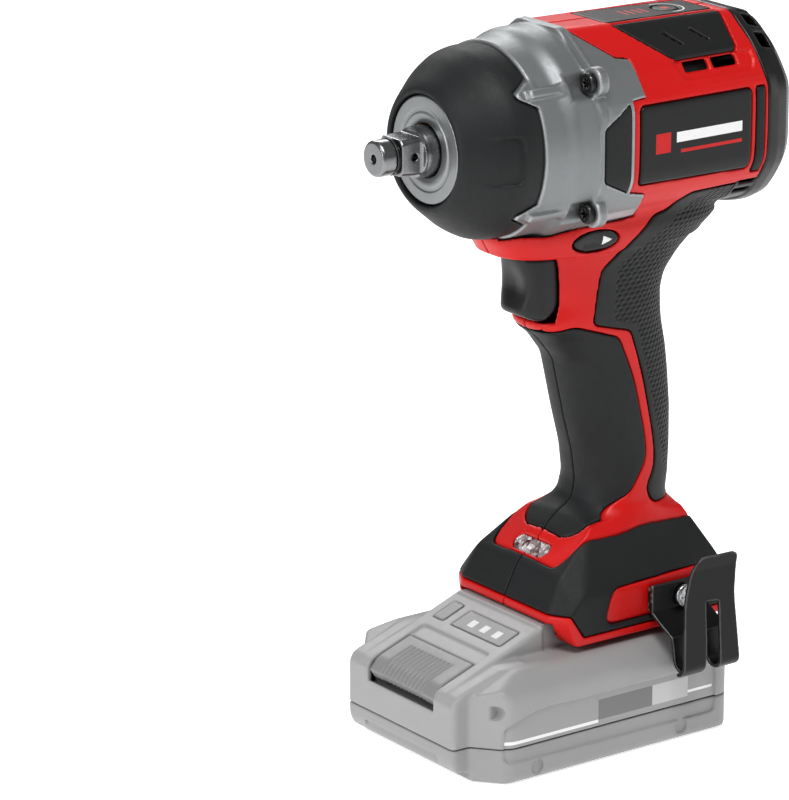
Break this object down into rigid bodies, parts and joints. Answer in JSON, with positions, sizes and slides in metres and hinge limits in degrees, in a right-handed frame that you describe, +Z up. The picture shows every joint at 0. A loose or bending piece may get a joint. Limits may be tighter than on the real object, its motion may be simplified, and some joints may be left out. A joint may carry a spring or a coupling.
{
  "type": "impact wrench",
  "caption": "Cordless pistol-grip impact wrench: square drive, rubber-booted cast gearcase, moulded handle, trigger, belt clip and slide-on battery pack.",
  "frame": {"origin": "middle of the battery pack's flat base, on the tool's mid-plane", "axes": "the square drive points along -X, the operator's left is -Y, +Z is up"},
  "size_m": [0.1594, 0.0967, 0.2548],
  "materials": {
    "red_plastic": "satin moulded",
    "black_rubber": "soft matt overmould",
    "black_plastic": "fine matt",
    "cast_aluminium": "fine cast, satin",
    "bright_steel": "ground",
    "dark_steel": "black oxide",
    "core_steel": "laminated",
    "bronze": "sintered",
    "copper": "enamelled wire",
    "board": "lacquered",
    "cell_sleeve": "shrink sleeve",
    "clear_lens": "clear polished",
    "light_grey_plastic": "satin moulded",
    "mid_grey_plastic": "satin moulded",
    "red_key": "membrane"
  },
  "bodies": {
    "tool_body": {"housing_left": "red_plastic", "rear_grip_left": "black_rubber", "front_grip_left": "black_rubber", "foot_cover_left": "black_rubber", "side_strip_left": "black_rubber", "flange_insert_left": "black_rubber", "side_label_left": "black_plastic", "vent_panel_left": "black_plastic", "housing_right": "red_plastic", "rear_grip_right": "black_rubber", "front_grip_right": "black_rubber", "foot_cover_right": "black_rubber", "side_strip_right": "black_rubber", "flange_insert_right": "black_rubber", "side_label_right": "black_plastic", "vent_panel_right": "black_plastic", "gearcase": "cast_aluminium", "nose_boot": "black_rubber", "rear_cap": "black_plastic", "top_panel": "black_plastic", "switch_module": "black_plastic", "terminal_block": "black_plastic", "front_plate": "bright_steel", "ring_gear": "bright_steel", "rear_bearing": "bright_steel", "belt_clip_screw": "bright_steel", "belt_clip": "dark_steel", "gearcase_screw_1": "dark_steel", "gearcase_screw_2": "dark_steel", "gearcase_screw_3": "dark_steel", "gearcase_screw_4": "dark_steel", "housing_screw_1": "dark_steel", "housing_screw_2": "dark_steel", "housing_screw_3": "dark_steel", "housing_screw_4": "dark_steel", "stator_core": "core_steel", "anvil_bushing": "bronze", "stator_windings": "copper", "controller_board": "board", "led_lens": "clear_lens"},
    "anvil": {"anvil": "bright_steel", "friction_ring": "dark_steel"},
    "cam_shaft": {"cam_shaft": "bright_steel", "hammer_spring": "bright_steel"},
    "hammer": {"hammer": "bright_steel"},
    "planet_gear_1": {"planet_gear_1": "bright_steel"},
    "planet_gear_2": {"planet_gear_2": "bright_steel"},
    "planet_gear_3": {"planet_gear_3": "bright_steel"},
    "rotor": {"rotor": "bright_steel", "fan": "black_plastic"},
    "trigger": {"trigger": "black_plastic"},
    "direction_selector": {"direction_selector": "black_plastic"},
    "mode_button": {"mode_button": "red_key"},
    "battery": {"battery_lower_case": "mid_grey_plastic", "battery_upper_case": "light_grey_plastic", "battery_gauge_lens": "mid_grey_plastic", "battery_cells": "cell_sleeve", "battery_contacts": "black_plastic"},
    "battery_release_button": {"battery_release_button": "mid_grey_plastic"},
    "battery_gauge_button": {"battery_gauge_button": "mid_grey_plastic"}
  },
  "joints": [
    {"name": "camshaft_spin", "type": "hinge", "parent": "tool_body", "child": "cam_shaft", "pos_m": [0, 0, 0.217], "axis": [1, 0, 0], "continuous": true},
    {"name": "anvil_spin", "type": "hinge", "parent": "tool_body", "child": "anvil", "pos_m": [0, 0, 0.217], "axis": [1, 0, 0], "continuous": true},
    {"name": "rotor_spin", "type": "hinge", "parent": "tool_body", "child": "rotor", "pos_m": [0, 0, 0.217], "axis": [1, 0, 0], "continuous": true},
    {"name": "planet_1_spin", "type": "hinge", "parent": "cam_shaft", "child": "planet_gear_1", "pos_m": [0, 0.0135, 0.217], "axis": [1, 0, 0], "continuous": true},
    {"name": "planet_2_spin", "type": "hinge", "parent": "cam_shaft", "child": "planet_gear_2", "pos_m": [0, -0.00675, 0.22869], "axis": [1, 0, 0], "continuous": true},
    {"name": "planet_3_spin", "type": "hinge", "parent": "cam_shaft", "child": "planet_gear_3", "pos_m": [0, -0.00675, 0.20531], "axis": [1, 0, 0], "continuous": true},
    {"name": "hammer_retract", "type": "slide", "parent": "cam_shaft", "child": "hammer", "axis": [1, 0, 0], "range_m": [0, 0.0055], "stiffness_N_per_m": 8000, "springref_m": -0.003, "deforming": ["hammer_spring"]},
    {"name": "trigger_pull", "type": "slide", "parent": "tool_body", "child": "trigger", "axis": [1, 0, 0], "range_m": [0, 0.006], "stiffness_N_per_m": 1000, "springref_m": -0.002},
    {"name": "direction_select", "type": "slide", "parent": "tool_body", "child": "direction_selector", "axis": [0, 1, 0], "range_m": [-0.0025, 0.0025]},
    {"name": "mode_press", "type": "slide", "parent": "tool_body", "child": "mode_button", "axis": [0, 0, -1], "range_m": [0, 0.0005], "stiffness_N_per_m": 4000, "springref_m": -0.0002},
    {"name": "battery_slide", "type": "slide", "parent": "tool_body", "child": "battery", "axis": [-1, 0, 0], "range_m": [0, 0.07]},
    {"name": "battery_release_press", "type": "slide", "parent": "battery", "child": "battery_release_button", "axis": [0, 0, -1], "range_m": [0, 0.0025], "stiffness_N_per_m": 2000, "springref_m": -0.001},
    {"name": "battery_gauge_press", "type": "slide", "parent": "battery", "child": "battery_gauge_button", "axis": [0, 0, -1], "range_m": [0, 0.0004], "stiffness_N_per_m": 4000, "springref_m": -0.0002}
  ],
  "couplings": [
    {"joint": "anvil_spin", "follows": "camshaft_spin", "ratio": 1},
    {"joint": "rotor_spin", "follows": "camshaft_spin", "ratio": 6},
    {"joint": "planet_1_spin", "follows": "camshaft_spin", "ratio": -2.5},
    {"joint": "planet_2_spin", "follows": "camshaft_spin", "ratio": -2.5},
    {"joint": "planet_3_spin", "follows": "camshaft_spin", "ratio": -2.5}
  ]
}
